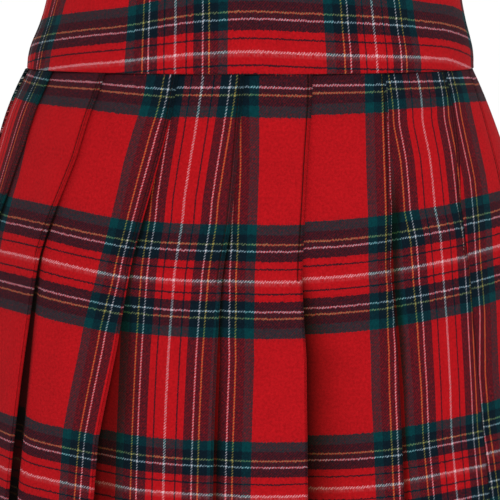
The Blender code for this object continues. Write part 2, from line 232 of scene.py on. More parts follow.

# Below the stitching the folds open
OPENS_EARLY, OPENS_OVER = 0.01, 0.150  # start above the stitching's end, length it takes
HIP = 0.1                      # level where the hollows reach their first depth
HIP_HOLLOW = 0.006             # widest hollow there
LIFT_REACH = 0.016             # how far in from its edge a fold lifts

# Stitching: edge stitches, and topstitches beside the slit
STITCH_END = 0.1325            # edge stitching runs down to here
STITCH_IN = 0.0030             # and lies this far in from the fold
STITCH_LONG, STITCH_GAP, THREAD_R = 0.0026, 0.0006, 0.00022
STITCH_SHAPE = ((0.0, 0.0005), (0.2, 0.0), (0.8, 0.0), (1.0, 0.0005))  # along it, how deep
STITCH_SIDES = 6               # of each thread, and of a zip tooth
DENT_WIDTH, DENT_DEEP = 0.0007, 0.00045
DENT_PAST = 0.002              # the dent goes on this far past the last stitch
STITCH_DARK = {-2: 0.75, 1: 0.90}      # painted shade in the dent, where more than elsewhere
STITCH_DARK_ELSE = 0.60
TOPSTITCH_IN = 0.0065          # from the centre back

# Zip teeth: from tooth to tooth, radius, reach to the tape, lap over the middle, and depths
# of the first and last
TOOTH_STEP, TOOTH_R, TOOTH_LONG, TOOTH_LAP = 0.0014, 0.00042, 0.0026, 0.0006
TEETH_TOP, TEETH_END = 0.0178, 0.1640

# Soft creases, placed one by one: place in pleat widths, level, half width, half length,
# slant, height
CREASES = (
    (-4.3, 0.035, 0.03, 0.045, 0.0, 0.003),
    (-3.9, 0.205, 0.016, 0.075, 0.1, 0.0022),
    (-3.0, 0.11, 0.013, 0.05, -0.12, -0.0014),
    (-2.95, 0.3, 0.02, 0.08, 0.05, -0.0022),
    (-2.1, 0.205, 0.014, 0.06, 0.1, 0.0012),
    (-1.1, 0.3, 0.018, 0.09, -0.06, 0.0016),
    (-0.2, 0.175, 0.02, 0.06, 0.14, -0.0009),
    (0.2, 0.32, 0.022, 0.08, 0.0, 0.0016),
    (0.95, 0.235, 0.016, 0.08, -0.04, 0.0011),
    (1.3, 0.06, 0.015, 0.04, 0.1, -0.0006),
    (1.95, 0.33, 0.02, 0.07, 0.08, -0.0016),
    (2.7, 0.215, 0.018, 0.075, -0.06, 0.0014),
    (3.4, 0.13, 0.014, 0.05, 0.12, 0.001),
    (3.9, 0.29, 0.02, 0.08, 0.06, 0.0026),
    (4.8, 0.19, 0.017, 0.065, -0.1, -0.0024),
    (5.6, 0.315, 0.022, 0.07, 0.1, 0.0028),
    (6.5, 0.15, 0.016, 0.055, 0.12, 0.0018),
    (7.2, 0.27, 0.021, 0.085, -0.08, -0.0026),
    (8.3, 0.215, 0.016, 0.07, 0.06, 0.0022),
    (9.1, 0.33, 0.024, 0.06, -0.1, 0.0026),
    (9.9, 0.16, 0.015, 0.06, 0.1, -0.0018),
    (10.8, 0.255, 0.02, 0.085, 0.05, 0.0026),
    (11.7, 0.32, 0.022, 0.065, -0.1, -0.0024),
    (12.5, 0.18, 0.016, 0.07, 0.1, 0.002),
    (13.4, 0.29, 0.02, 0.08, -0.06, 0.0026),
)

# Skirt pieces: name, fold it starts behind, last fold of the piece
SKIRT_PIECES = (
    ("skirt_front", -3, 6),
    ("skirt_back_left", 6, 11),
    ("skirt_back_right", -7, -3),
)
SEAM_GAP = 0.0003              # between one piece's end and the next
ROWS = 80
EDGE_ROW = 0.0012              # the rows next to the seam and hem lie this close

# Yoke pieces: name, start and end angle from the centre front in degrees
YOKE_PIECES = (
    ("waistband_front", -90.0, 90.0),
    ("waistband_back_left", 90.0, 180.0),
    ("waistband_back_right", 180.0, 270.0),
)
SLIT = 0.0018                  # width of the centre back slit
BACK_RADIUS, SIDE_RADIUS = 0.1315, 0.093   # arc to an angle at the centre back and sides
END_RADIUS = 0.12              # the same at a piece's ends, near enough
YOKE_ROUND = 0.0010            # round of the cloth's turned edges
YOKE_CURL = 0.42               # each face's share of the wall that is rounded off there

# Yoke check: arc from the centre of its piece, how far the lines there sag, height of one
# check unit, share of the yoke's spreading that the upright lines follow, their shift right
YOKE_LINES = (
    (-0.190, 0.0192, 0.000620, 1.0, 0.0),
    (-0.153, 0.0141, 0.000609, 1.0, 0.0),
    (-0.110, 0.0092, 0.000600, 0.7, 0.0),
    (-0.087, 0.0071, 0.000605, 0.4, 0.0),
    (-0.060, 0.0040, 0.000640, 0.1, 0.0),
    (-0.033, 0.0013, 0.000667, 0.0, 0.0),
    (0.000, 0.0, 0.000678, 0.5, 0.0003),
    (0.033, 0.0014, 0.000682, 0.9, 0.0008),
    (0.065, 0.0028, 0.000680, 1.0, 0.0016),
    (0.098, 0.0040, 0.000655, 1.0, 0.0012),
    (0.135, 0.0062, 0.000616, 1.0, 0.0),
    (0.160, 0.0110, 0.000650, 1.0, 0.0),
    (0.190, 0.0170, 0.000650, 1.0, 0.0),
)
YOKE_LINES_AT = 0.040          # depth at which the table's arcs are read
YOKE_WHITE_UP = 0.0145         # white line above the seam at the centre front
YOKE_WHITE_ARC = -0.0484       # white line left of the centre front


def smooth(rows, keys, column):
    """Value of a table's column at each key, on a smooth curve through its rows."""
    x, y = np.array([(row[0], row[column]) for row in rows], float).T
    step = np.diff(x)
    slope = np.diff(y) / step
    tangent = np.empty(len(x))
    tangent[0], tangent[-1] = slope[0], slope[-1]
    same = slope[1:] * slope[:-1] > 0
    both = np.where(same, slope[1:] + slope[:-1], 1.0)
    tangent[1:-1] = np.where(same, 2 * slope[1:] * slope[:-1] / both, 0.0)
    key = np.clip(np.asarray(keys, float), x[0], x[-1])
    i = np.clip(np.searchsorted(x, key) - 1, 0, len(x) - 2)
    t = (key - x[i]) / step[i]
    return (y[i] * (1 + 2 * t) * (1 - t) ** 2 + y[i + 1] * t * t * (3 - 2 * t)
            + step[i] * (tangent[i] * t * (1 - t) ** 2 - tangent[i + 1] * t * t * (1 - t)))


def row_of(number):
    """Number that a fold has in the tables, which run once round."""
    return (number - FIRST_FOLD) % PLEATS + FIRST_FOLD


SPANS = 240                    # steps in which a quarter of a ring is measured
EVEN_TURNS = np.linspace(0, math.pi / 2, SPANS + 1)


def arcs(half_width, half_depth):
    """Arc length from the centre front to each of EVEN_TURNS."""
    mid = (np.arange(SPANS) + 0.5) / SPANS * math.pi / 2
    rate = np.hypot(half_width * np.cos(mid), half_depth * np.sin(mid))
    return np.concatenate([[0], np.cumsum(rate) * math.pi / 2 / SPANS])


class Ring:
    """One level ring of the skirt, on which places are counted in pleat widths."""

    def __init__(self, level):
        self.level = level
        values = [float(smooth(SKIRT_RINGS, level, column)) for column in range(1, 6)]
        self.half_width, self.half_depth, self.drop, self.rise, self.shift = values
        self.lengths = arcs(self.half_width, self.half_depth)
        self.pleat = self.lengths[-1] * 4 / PLEATS

    def angle(self, place):
        """Angles from the centre front at places."""
        quarter = PLEATS / 4
        turns = np.floor(place / quarter)
        rest = place - turns * quarter
        back = turns % 2 == 1
        length = np.where(back, quarter - rest, rest) * self.pleat
        angle = np.interp(length, self.lengths, EVEN_TURNS)
        return np.where(back, (turns + 1) * math.pi / 2 - angle, turns * math.pi / 2 + angle)

    def points(self, place, depth):
        """Points at places, each a distance in from the outside of the skirt."""
        angle = self.angle(place)
        across, along = np.sin(angle), np.cos(angle)
        x, y = self.half_depth * across, -self.half_width * along
        size = np.hypot(x, y)
        lift = across ** 2 * (1.35 - 0.35 * across ** 2)
        z = -YOKE_SEAM - self.drop + self.rise * lift
        return np.stack([self.half_width * across - x / size * depth,
                         -self.half_depth * along - y / size * depth,
                         z + 0.0 * depth], axis=-1)

    def fold(self, number):
        """Place of a fold's edge."""
        own = FOLDS[row_of(number)]
        return number + float(np.interp(self.level, FOLD_LEVELS, own)) + self.shift

    def under(self, number):
        """Underlap behind a fold, in pleat widths."""
        take = (fold_check(number + 1) - fold_check(number)) * WARP_REPEAT
        return (take / self.pleat - (self.fold(number + 1) - self.fold(number))) / 2


def fold_check(number):
    """Check coordinate of a fold's edge, in repeats."""
    return FIRST_FOLD_CHECK + (number - 1) * 4 / 3 + FOLD_CHECK.get(row_of(number), 0.0)


def low_share(level):
    """From 0 where the edge stitching ends to 1 low down."""
    t = np.clip((level - STITCH_END + OPENS_EARLY) / OPENS_OVER, 0, 1)
    return t * t * (3 - 2 * t)


def creases(place, level, pleat):
    """How far the soft creases push the cloth out."""
    push = 0.0
    for at, mid, half_width, half_length, slant, height in CREASES:
        away = (place - at + PLEATS / 2) % PLEATS - PLEATS / 2
        side = away * pleat - (level - mid) * slant
        # Uneven: the ridge's width and height vary along it
        along = min(2.2, max(-2.2, (level - mid) / half_length))
        wide = half_width * (1 + 0.25 * along)
        fade = math.exp(-along ** 2 * (1 + 0.25 * along)) - math.exp(-3.0)
        push = push + height * max(0.0, fade) * np.exp(-(side / wide) ** 2)
    # A slight wave all over
    wave = (np.sin(place * 5.1 + level * 31) * np.sin(level * 23 + place * 2.3)
            + 0.6 * np.sin(place * 9.7 - level * 44 + 1.0)) * 0.00025
    return push + wave * min(1.0, level / 0.05)


def hollow(number, ring, along):
    """Sink of the cloth at a distance right of a fold's edge."""
    at_hip, low, width, steep, _ = OPENING[row_of(number)]
    share = low_share(ring.level)
    deep = at_hip * min(1.0, ring.level / HIP) + (low - at_hip) * share
    start = min(width, HIP_HOLLOW)
    wide = start + (width - start) * share
    return deep * np.exp(-(np.clip(along, 0, None) / wide) ** steep)


def edge_lift(number, ring, along):
    """Lift of the cloth at a distance left of a fold's edge."""
    lift = OPENING[row_of(number)][4] * low_share(ring.level)
    return lift * np.exp(-(np.clip(along, 0, None) / LIFT_REACH) ** 2)


def fold_shade(number, ring, along):
    """Painted shade: light left on the cloth at a distance right of a fold's edge."""
    shows, widens, full, first, low, sharp, dark = FOLD_SHADE[row_of(number)]
    grown = min(1.0, max(0.0, (ring.level - widens) / (full - widens)))
    wide = first + (low - first) * grown
    fade = min(1.0, max(0.0, (ring.level - shows + SHADE_RAMP / 2) / SHADE_RAMP))
    under = np.clip(-along / UNDER_EDGE, 0, 1) * (UNDER_DARK - dark * fade)
    reach = np.exp(-(np.clip(along, 0, None) / wide) ** sharp)
    return 1 - dark * fade * reach - np.clip(under, 0, None)


def stitch_dent(ring, along, past=0.0):
    """Share of the edge stitching's full dent at a distance left of a fold's edge."""
    dent = np.exp(-((along - STITCH_IN) / DENT_WIDTH) ** 2)
    return dent * (ring.level <= STITCH_END + past)


def stitch_shade(number, ring, along):
    """Painted shade: light left in that dent."""
    return 1 - STITCH_DARK.get(number, STITCH_DARK_ELSE) * stitch_dent(ring, along)


def face_depth(ring, number, place):
    """Depth of the middle of a pleat's face at places."""
    edge, before = ring.fold(number), ring.fold(number - 1)
    right = (edge - place) * ring.pleat
    left = (place - before) * ring.pleat
    return (CLOTH / 2 + CLOTH_IN + LAYER_STEP * (edge - place)
            + hollow(number - 1, ring, left) - edge_lift(number, ring, right)
            + DENT_DEEP * stitch_dent(ring, right, DENT_PAST)
            - creases(place, ring.level, ring.pleat))


def check_at(ring, number, place, across):
    """Check coordinates, in repeats, across and down the cloth at places on a pleat."""
    edge, before = ring.fold(number), ring.fold(number - 1)
    part = np.clip((place - before) / (edge - before), -0.2, 1.2)
    left, right = FACE_DROP.get(number, (3 * (0.0,), 3 * (0.0,)))
    drop_left = np.interp(ring.level, DROP_LEVELS, left)
    drop_right = np.interp(ring.level, DROP_LEVELS, right)
    level = ring.level - drop_left * (1 - part) - drop_right * part
    rise, wide = FOLD_RISE.get(number - 1, (0.0, 1.0))
    away = np.clip(place - before, 0, None) * ring.pleat
    level = level + rise * low_share(ring.level) * np.exp(-away / wide)
    return np.stack([across, check_down(level) / (2 * HALF_REPEAT)], axis=-1)


def on_face(table, number, level, other=0.0):
    """A pleat face's value in a table at a level, or another where it has none."""
    return np.interp(level, SLANT_LEVELS, table.get(number, len(SLANT_LEVELS) * (other,)))


def check_down(level):
    """Check units down the cloth at levels, going on evenly past the hem."""
    keys, units = zip(*CHECK_DOWN)
    low = (units[-1] - units[-2]) / (keys[-1] - keys[-2])
    return np.interp(level, keys, units) + np.clip(level - keys[-1], 0, None) * low


# Steps along a pleat's face, left to right: hidden behind the fold before, near that fold's
# edge and near its own edge in metres, and between those two
HIDDEN_STEPS = np.linspace(0, 1, 8)[:-1]
NEAR_STEPS = np.concatenate([np.arange(-0.0030, 0.0099, 0.0010),
                             np.arange(0.0100, 0.0260, 0.0020)])
OPEN_STEPS = np.linspace(0, 1, 10)
EDGE_STEPS = np.array([0.0078, 0.0064, 0.0052, 0.0044, 0.0038, 0.0033, 0.0030, 0.0027, 0.0022,
                       0.0016, 0.0010])
UNDER_STEPS = 7                # along the underlap
BENDS = np.radians([30, 60, 90, 120, 150])     # round a fold
SEAM_BENDS = np.array([0.25, 0.5, 0.75, 1.0]) * math.pi / 2    # round half a fold, to a seam


def pleat_row(ring, first, last):
    """Middle line of the cloth on one ring: places, depths, check coordinates and shades."""
    places, depths, checks, shades = [], [], [], []

    def add(place, depth, check, shade):
        places.append(place)
        depths.append(depth)
        checks.append(check)
        shades.append(np.broadcast_to(shade, place.shape))

    for number in range(first + 1, last + 1):
        edge, before = ring.fold(number), ring.fold(number - 1)
        back = before - ring.under(number - 1)
        inner = edge - ring.under(number)
        layer = LAYER_STEP * (ring.fold(number + 1) - edge) / 2
        layer_before = LAYER_STEP * (edge - before) / 2
        radius, radius_before = layer / 2 / ring.pleat, layer_before / 2 / ring.pleat
        face_end = edge - radius - CLOTH / 2 / ring.pleat
        face_start = back + radius_before
        mine = fold_check(number) - on_face(FACE_SLANT, number, ring.level) / WARP_REPEAT
        scale = ring.pleat / WARP_REPEAT
        spread = on_face(FACE_SPREAD, number, ring.level, 1.0)
        bend = on_face(FACE_BEND, number, ring.level)

        def face_check(place):
            part = np.clip((edge - place) / (edge - before), 0, 1)
            closer = spread * (1 + bend * (0.5 - part))
            return check_at(ring, number, place, mine - (edge - place) * scale * closer)

        if number == first + 1:
            bends = SEAM_BENDS[::-1]
            place = face_start - radius_before * np.sin(bends)
            depth = (face_depth(ring, number, np.full(len(bends), face_start))
                     - layer_before / 2 * (1 - np.cos(bends)))
            depth[0] += SEAM_GAP / 2
            add(place, depth, face_check(place), HIDDEN_SHADE)
        far = edge - EDGE_STEPS / ring.pleat
        near = before + NEAR_STEPS / ring.pleat
        near = near[near > face_start + 0.001 / ring.pleat]
        near = near[near < far[0] - 0.002 / ring.pleat]
        place = np.concatenate([face_start + (near[0] - face_start) * HIDDEN_STEPS, near[:-1],
                                near[-1] + (far[0] - near[-1]) * OPEN_STEPS,
                                far[1:], [face_end]])
        # Painted shade from the fold before and from the stitching's dent
        shade = (fold_shade(number - 1, ring, (place - before) * ring.pleat)
                 * stitch_shade(number, ring, (edge - place) * ring.pleat))
        add(place, face_depth(ring, number, place), face_check(place), shade)
        top = face_depth(ring, number, np.array([face_end]))[0]
        place = face_end + radius * np.sin(BENDS)
        turn = mine + (BENDS / math.pi * 2 - 1) * 0.2 * radius * scale
        # Painted shade deepens round the fold's turn
        add(place, top + layer / 2 * (1 - np.cos(BENDS)),
            check_at(ring, number, np.full(len(BENDS), edge), turn),
            np.interp(BENDS, (0, math.pi), (1.0, HIDDEN_SHADE)))
        under_end = inner + radius
        t = np.linspace(0, 1, UNDER_STEPS + 1)
        place = face_end + (under_end - face_end) * t
        depth = ((1 - t) * (face_depth(ring, number, place) + layer)
                 + t * (face_depth(ring, number + 1, place) - layer))
        under_check = mine + (edge - place) * scale
        add(place, depth, check_at(ring, number + 1, place, under_check), HIDDEN_SHADE)
        bends = SEAM_BENDS if number == last else BENDS
        place = under_end - radius * np.sin(bends)
        turned = depth[-1] + layer / 2 * (1 - np.cos(bends))
        if number == last:
            turned[-1] -= SEAM_GAP / 2
        add(place, turned, check_at(ring, number + 1, place, under_check[-1] + 0 * place),
            HIDDEN_SHADE)
    return [np.concatenate(part) for part in (places, depths, checks, shades)]


def out_way(ring, place):
    """Direction straight out of the skirt at a place."""
    angle = ring.angle(np.atleast_1d(place))
    way = np.stack([ring.half_depth * np.sin(angle), -ring.half_width * np.cos(angle)], axis=-1)
    return (way / np.linalg.norm(way, axis=1, keepdims=True))[0]


def thicken(line, start, end, wall):
    """Outer and inner points of a wall round a middle line."""
    step = np.diff(line[:, :2], axis=0)
    step /= np.linalg.norm(step, axis=1, keepdims=True)
    mean = np.empty((len(line), 2))
    mean[1:-1] = step[1:] + step[:-1]
    mean[1:-1] /= np.linalg.norm(mean[1:-1], axis=1, keepdims=True)
    mean[0], mean[-1] = start, end
    reach = np.full(len(line), wall / 2)
    reach[1:-1] /= np.maximum(0.75, (mean[1:-1] * step[1:]).sum(1))
    side = np.stack([mean[:, 1], -mean[:, 0], 0 * reach], axis=-1) * reach[:, None]
    return line + side, line - side


def in_scene(name, data):
    """New object in the scene."""
    thing = bpy.data.objects.new(name, data)
    bpy.context.scene.collection.objects.link(thing)
    return thing


def link(name, mesh, material):
    """Smooth object with a material, riding on the garment."""
    mesh.polygons.foreach_set("use_smooth", np.ones(len(mesh.polygons), bool))
    mesh.validate()
    mesh.update()
    thing = in_scene(name, mesh)
    mesh.materials.append(material)
    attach(thing, "garment")
    return thing


def shell(name, rows, checks, shades, material):
    """Closed cloth wall from rows of (outer, inner) points, with check coordinates and the
    painted shade of its outer points."""
    count, across = len(rows), len(rows[0][0])
    points = np.concatenate([np.concatenate([outer, inner]) for outer, inner in rows])
    coordinates = np.concatenate([np.concatenate([check, check]) for check in checks])

    def quads(*corners):
        return np.stack([row * 2 * across + side * across + i for row, side, i in corners],
                        axis=-1)

    row, i = np.meshgrid(np.arange(count - 1), np.arange(across - 1), indexing="ij")
    row, i = row.ravel(), i.ravel()
    faces = [quads((row, 0, i), (row + 1, 0, i), (row + 1, 0, i + 1), (row, 0, i + 1)),
             quads((row, 1, i), (row, 1, i + 1), (row + 1, 1, i + 1), (row + 1, 1, i))]
    row, last = np.arange(count - 1), across - 1
    faces += [quads((row, 0, 0), (row, 1, 0), (row + 1, 1, 0), (row + 1, 0, 0)),
              quads((row, 0, last), (row + 1, 0, last), (row + 1, 1, last), (row, 1, last))]
    i, end = np.arange(across - 1), count - 1
    faces += [quads((0, 0, i), (0, 0, i + 1), (0, 1, i + 1), (0, 1, i)),
              quads((end, 0, i), (end, 1, i), (end, 1, i + 1), (end, 0, i + 1))]
    faces = np.concatenate(faces)
    mesh = bpy.data.meshes.new(name)
    mesh.from_pydata(points.tolist(), [], faces.tolist())
    layer = mesh.uv_layers.new(name="Check")
    corner = np.empty(len(mesh.loops), np.int32)
    mesh.loops.foreach_get("vertex_index", corner)
    layer.data.foreach_set("uv", coordinates[corner].astype(np.float32).ravel())
    shade = mesh.attributes.new("Shade", "FLOAT", "POINT")
    shades = [np.concatenate([row, np.maximum(row, INSIDE_SHADE)]) for row in shades]
    shade.data.foreach_set("value", np.concatenate(shades).astype(np.float32))
    return link(name, mesh, material)


# Materials

# Check stripes from a white line outwards: end of the stripe in check units, yarn
STRIPES = (
    (1.27, "white"),
    (11.2, "red"),
    (12.9, "black"),
    (20.0, "red"),
    (29.33, "black"),
    (31.07, "pale"),
    (35.83, "black"),
    (37.57, "yellow"),
    (46.5, "black"),
    (57.0, "green"),
    (HALF_REPEAT, "red"),
)
YARNS = {
    "red": (0.277, 0.0036, 0.0060),
    "black": (0.0016, 0.0056, 0.0098),
    "green": (0.0007, 0.0255, 0.0295),
    "white": (0.490, 0.350, 0.365),
}
WARP_LIGHTS = {"pale": (0.420, 0.350, 0.370), "yellow": (0.270, 0.180, 0.034)}
WEFT_LIGHTS = {"pale": (0.300, 0.375, 0.420), "yellow": (0.170, 0.185, 0.065)}
LIGHT_YARNS = ("white", "pale", "yellow")
YARN_MIX = 0.20                # how dark yarns win where two yarns cross
WEFT_SHOWS = 0.58              # the weft's share in what shows
LIGHT_WEFT_MORE = -0.02        # and how that changes on light weft lines

# Brushed surface: noises as scale, detail and roughness, lengths in repeats
THREADS = 300                  # threads in one repeat
RIB_THREADS = 4                # two over, two under: diagonal ribs four threads apart
RIB, RIB_ON_WEFT, RIB_ON_WARP = 0.10, 0.20, 0.28   # how they show, and more on light yarns
UNEVEN, UNEVEN_SHARE = (95, 3, 0.65), 0.95
FRAY, FRAY_STROKE = (110, 2), 0.35
WARP_FRAY, WEFT_FRAY = 0.006, 0.016
NAP, NAP_STROKE, NAP_REACH, NAP_SHARE = (40, 2, 0.6), 6.0, 0.16, 0.14
HAIR, HAIR_STROKE = (45, 2, 0.6), 7.0
HAZE_START, HAZE_END = 0.004, 0.026
HAZE_SHARE, HAZE_COLOUR = 0.20, (0.45, 0.34, 0.36, 1)
FINE, FINE_SHADE = (75, 3, 0.7), 1.05
BROAD, BROAD_SHADE = (9, 2, 0.5), 0.20
FUZZ = (160, 3, 0.6)
# least light that the painted shade leaves
LEAST_LIGHT = 0.02
GREEN_FADES, BLUE_FADES = 0.95, 1.4    # powers of the painted shade's light in a fold, against the red


class Nodes:
    """Short way to write a material's nodes."""

    def __init__(self, name):
        self.material = bpy.data.materials.new(name)
        self.material.use_nodes = True
        self.tree = self.material.node_tree
        self.shader = self.tree.nodes["Principled BSDF"]

    def put(self, socket, value):
        """Link or set a socket."""
        if isinstance(value, bpy.types.NodeSocket):
            self.tree.links.new(value, socket)
        elif value is not None:
            socket.default_value = value

    def fill(self, node, inputs):
        """Link or set named inputs of a node."""
        for name, value in inputs.items():
            self.put(node.inputs[name], value)
        return node

    def new(self, kind, inputs=None):
        return self.fill(self.tree.nodes.new("ShaderNode" + kind), inputs or {})

    def math(self, operation, a, b=None, c=None, clamp=False):
        node = self.new("Math")
        node.operation, node.use_clamp = operation, clamp
        for socket, value in zip(node.inputs, (a, b, c)):
            self.put(socket, value)
        return node.outputs[0]

    def combine(self, x, y, z=0.0):
        node = self.new("CombineXYZ")
        for socket, value in zip(node.inputs, (x, y, z)):
            self.put(socket, value)
        return node.outputs[0]

    def noise(self, vector, scale, detail=2.0, roughness=0.5):
        return self.new("TexNoise", {"Vector": vector, "Scale": scale, "Detail": detail,
                                     "Roughness": roughness}).outputs[0]

    def sway(self, vector, *kind):
        """Noise about zero."""
        return self.math("SUBTRACT", self.noise(vector, *kind), 0.5)

    def place(self):
        return self.new("TexCoord").outputs["Object"]

    def finish(self, inputs):
        self.fill(self.shader, inputs)

    def bump(self, height, strength, distance):
        node = self.new("Bump", {"Height": height, "Strength": strength, "Distance": distance})
        self.finish({"Normal": node.outputs[0]})

    def mix(self, factor, a, b, kind="MIX"):
        node = self.new("Mix")
        node.data_type, node.blend_type = "RGBA", kind
        self.put(node.inputs[0], factor)
        self.put(node.inputs[6], a)
        self.put(node.inputs[7], b)
        return node.outputs[2]

    def each(self, colour, power):
        """Every channel of a colour to a power."""
        split = self.new("SeparateColor", {"Color": colour})
        join = self.new("CombineColor")
        for i in range(3):
            self.put(join.inputs[i], self.math("POWER", split.outputs[i], power))
        return join.outputs[0]


def stripes(nodes, coordinate, lights):
    """Yarn colour raised to YARN_MIX, and where a light yarn lies, at a check coordinate."""
    away = nodes.math("PINGPONG", coordinate, 0.5)
    node = nodes.new("ValToRGB")
    node.color_ramp.interpolation = "CONSTANT"
    elements = node.color_ramp.elements
    elements.remove(elements[1])
    start = 0.0
    yarns = {**YARNS, **lights}
    for i, (end, yarn) in enumerate(STRIPES):
        element = elements[0] if i == 0 else elements.new(start / HALF_REPEAT)
        element.position = start / HALF_REPEAT
        light = float(yarn in LIGHT_YARNS)
        element.color = (*[channel ** YARN_MIX for channel in yarns[yarn]], light)
        start = end
    nodes.put(node.inputs[0], nodes.math("MULTIPLY", away, 2.0))
    return node.outputs


def check_cloth(name):
    """Brushed check twill, on a mesh that carries check coordinates and painted fold shade."""
    nodes = Nodes(name)
    where = nodes.new("UVMap")
    where.uv_map = "Check"
    split = nodes.new("SeparateXYZ", {"Vector": where.outputs[0]})
    across, down = split.outputs[0], split.outputs[1]
    flat = nodes.combine(across, down)
    rib = nodes.math("MULTIPLY", nodes.math("ADD", across, down),
                     2 * math.pi * THREADS / RIB_THREADS)
    rib = nodes.math("SINE", rib)
    # Brushed fibres fray the threads' edges, in short strokes across each thread
    fray_a = nodes.combine(nodes.math("MULTIPLY", across, FRAY_STROKE), down)
    fray_b = nodes.combine(across, nodes.math("MULTIPLY", down, FRAY_STROKE), 3.0)
    across_f = nodes.math("MULTIPLY_ADD", nodes.sway(fray_a, *FRAY), WARP_FRAY, across)
    down_f = nodes.math("MULTIPLY_ADD", nodes.sway(fray_b, *FRAY), WEFT_FRAY, down)
    warp, warp_light = stripes(nodes, across_f, WARP_LIGHTS)
    weft, weft_light = stripes(nodes, down_f, WEFT_LIGHTS)
    # Nap drawn down and up over the next stripes
    nap = nodes.sway(nodes.combine(nodes.math("MULTIPLY", across, NAP_STROKE), down, 5.0), *NAP)
    napped, _ = stripes(nodes, nodes.math("MULTIPLY_ADD", nap, NAP_REACH, down_f), WEFT_LIGHTS)
    weft = nodes.mix(NAP_SHARE, weft, napped)
    ribbed = nodes.math("MULTIPLY_ADD", weft_light, RIB_ON_WEFT, RIB)
    ribbed = nodes.math("MULTIPLY_ADD", warp_light, RIB_ON_WARP, ribbed)
    share = nodes.math("MULTIPLY_ADD", rib, ribbed, WEFT_SHOWS)
    share = nodes.math("MULTIPLY_ADD", weft_light, LIGHT_WEFT_MORE, share)
    share = nodes.math("MULTIPLY_ADD", nodes.sway(flat, *UNEVEN), UNEVEN_SHARE, share, clamp=True)
    colour = nodes.each(nodes.mix(share, warp, weft), 1 / YARN_MIX)
    # White nap drawn down from the wide white line
    signed = nodes.math("SUBTRACT", nodes.math("FRACT", nodes.math("ADD", down, 0.5)), 0.5)
    below = nodes.new("MapRange", {"Value": signed, "From Min": HAZE_END, "From Max": HAZE_START})
    only = nodes.math("GREATER_THAN", signed, 0.0)
    hair = nodes.noise(nodes.combine(nodes.math("MULTIPLY", across, HAIR_STROKE), down), *HAIR)
    hair = nodes.math("MULTIPLY_ADD", hair, 3.0, -1.2, clamp=True)
    haze = nodes.math("MULTIPLY", nodes.math("MULTIPLY", below.outputs[0], only),
                      nodes.math("MULTIPLY", hair, HAZE_SHARE))
    colour = nodes.mix(haze, colour, HAZE_COLOUR)
    # Heathered shade: small fibres and broad unevenness
    shade = nodes.math("MULTIPLY_ADD", nodes.sway(flat, *FINE), FINE_SHADE, 1.0)
    shade = nodes.math("MULTIPLY_ADD", nodes.sway(flat, *BROAD), BROAD_SHADE, shade)
    # Painted shade: less light in the folds, and that warmer, multiplied into the base colour
    painted_shade = nodes.new("Attribute")
    painted_shade.attribute_name = "Shade"
    light = nodes.math("MAXIMUM", painted_shade.outputs["Fac"], LEAST_LIGHT)
    lights = (light, nodes.math("POWER", light, GREEN_FADES),
              nodes.math("POWER", light, BLUE_FADES))
    tint = nodes.combine(*[nodes.math("MULTIPLY", shade, part) for part in lights])
    nodes.finish({"Base Color": nodes.mix(1.0, colour, tint, "MULTIPLY"), "Roughness": 0.95,
                  "Specular IOR Level": 0.03, "Sheen Weight": 0.010, "Sheen Roughness": 0.6})
    nodes.bump(nodes.math("MULTIPLY_ADD", rib, RIB, nodes.noise(flat, *FUZZ)), 0.35, 0.0006)
    return nodes.material


def thread_material(name, colour):
    """Thread of a colour, darker in places."""
    nodes = Nodes(name)
    dark = (*[channel * 0.6 for channel in colour], 1)
    tone = nodes.mix(nodes.noise(nodes.place(), 900, 2), dark, (*colour, 1))
    nodes.finish({"Base Color": tone, "Roughness": 0.8, "Specular IOR Level": 0.05})
    return nodes.material


def tape_material():
    """Dark woven tape."""
    nodes = Nodes("zip_tape_weave")
    wave = nodes.new("TexWave", {"Vector": nodes.place(), "Scale": 900, "Distortion": 1.5})
    wave.bands_direction = "DIAGONAL"
    tone = nodes.mix(wave.outputs[0], (0.006, 0.008, 0.012, 1), (0.022, 0.026, 0.034, 1))
    nodes.finish({"Base Color": tone, "Roughness": 0.85})
    nodes.bump(wave.outputs[0], 0.3, 0.0003)
    return nodes.material


def metal_material():
    """Dark enamel, rubbed lighter in places."""
    nodes = Nodes("zip_metal_enamel")
    rub = nodes.noise(nodes.place(), 500, 3, 0.6)
    tone = nodes.mix(rub, (0.030, 0.030, 0.034, 1), (0.085, 0.085, 0.092, 1))
    nodes.finish({"Base Color": tone, "Metallic": 0.8,
                  "Roughness": nodes.math("MULTIPLY_ADD", rub, 0.25, 0.28)})
    return nodes.material


# Pleated cloth

skirt_cloth = check_cloth("pleat_check_twill")
levels = np.concatenate([[0.0, EDGE_ROW], np.linspace(0.004, LENGTH - EDGE_ROW, ROWS - 3),
                         [LENGTH]])
for name, first, last in SKIRT_PIECES:
    rows, checks, shades = [], [], []
    for level in levels:
        ring = Ring(float(level))
        place, depth, check, shade = pleat_row(ring, first, last)
        start = -out_way(ring, ring.fold(first) - ring.under(first))
        end = -out_way(ring, ring.fold(last) - ring.under(last))
        rows.append(thicken(ring.points(place, depth), start, end, CLOTH))
        checks.append(check)
        shades.append(shade)
    piece = shell(name + "_cloth", rows, checks, shades, skirt_cloth)
    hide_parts(name)
    width = (fold_check(last) - fold_check(first)) * WARP_REPEAT

# Edge stitching: threads along each fold's edge, from the seam down


def stitch_starts(first, end):
    """Distances at which stitches start, the last one ending before an end."""
    start = first
    while start + STITCH_LONG < end:
        yield start
        start += STITCH_LONG + STITCH_GAP


